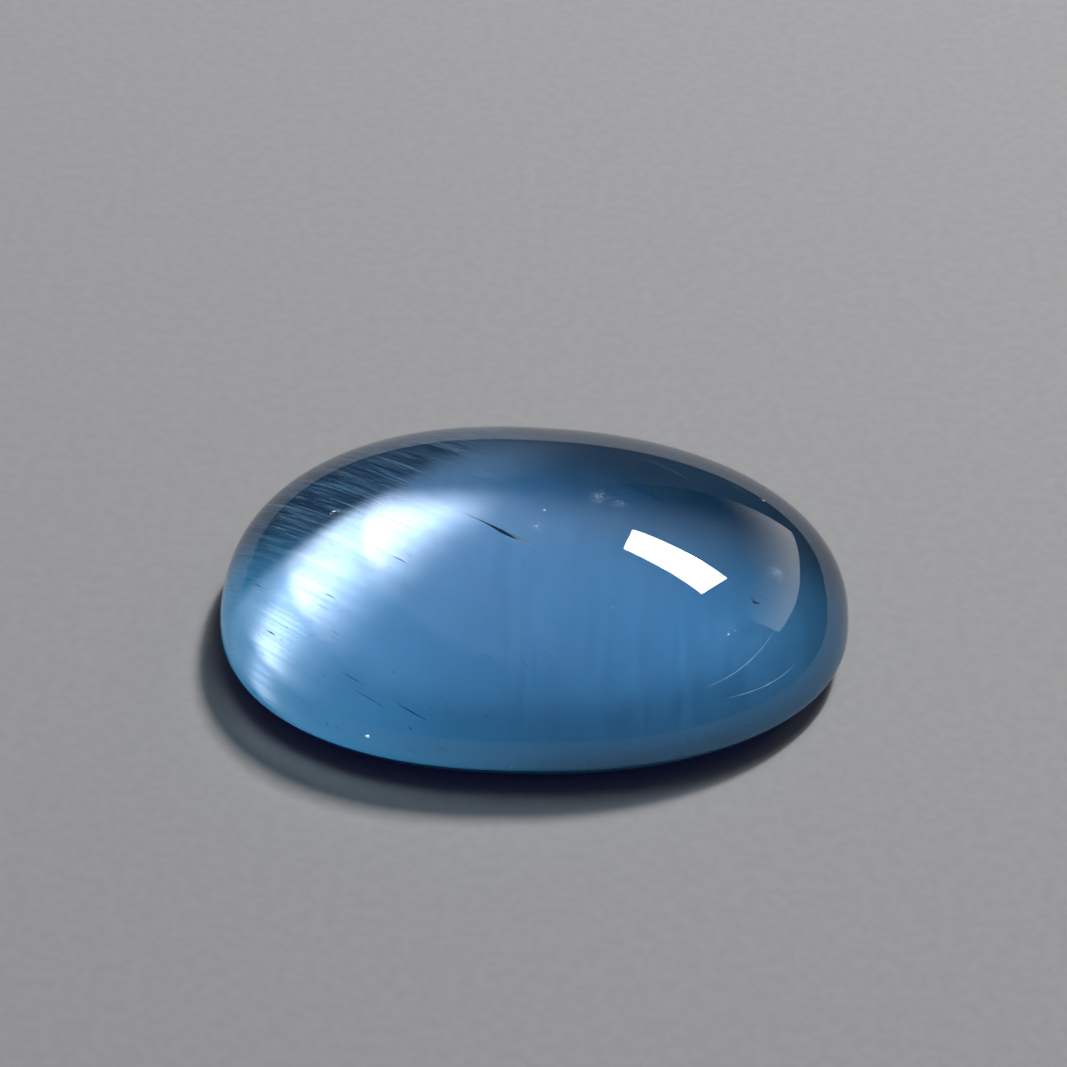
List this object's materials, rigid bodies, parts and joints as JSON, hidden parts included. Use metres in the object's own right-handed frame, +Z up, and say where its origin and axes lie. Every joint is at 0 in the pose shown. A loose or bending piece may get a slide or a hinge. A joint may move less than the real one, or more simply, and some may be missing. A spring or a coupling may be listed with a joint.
{
  "type": "aquamarine cabochon",
  "caption": "Oval domed cabochon of milky blue aquamarine with fine parallel silk, a rounded girdle and a flat base.",
  "frame": {"origin": "centre of the flat base, on the surface that the stone lies on", "axes": "+Z up through the dome, +X along the length towards the narrower end, +Y across the width"},
  "size_m": [0.02, 0.015, 0.0053],
  "materials": {
    "aquamarine": "high polish, translucent, with fine parallel silk inside"
  },
  "bodies": {
    "root": {"aquamarine_cabochon": "aquamarine"}
  },
  "joints": []
}
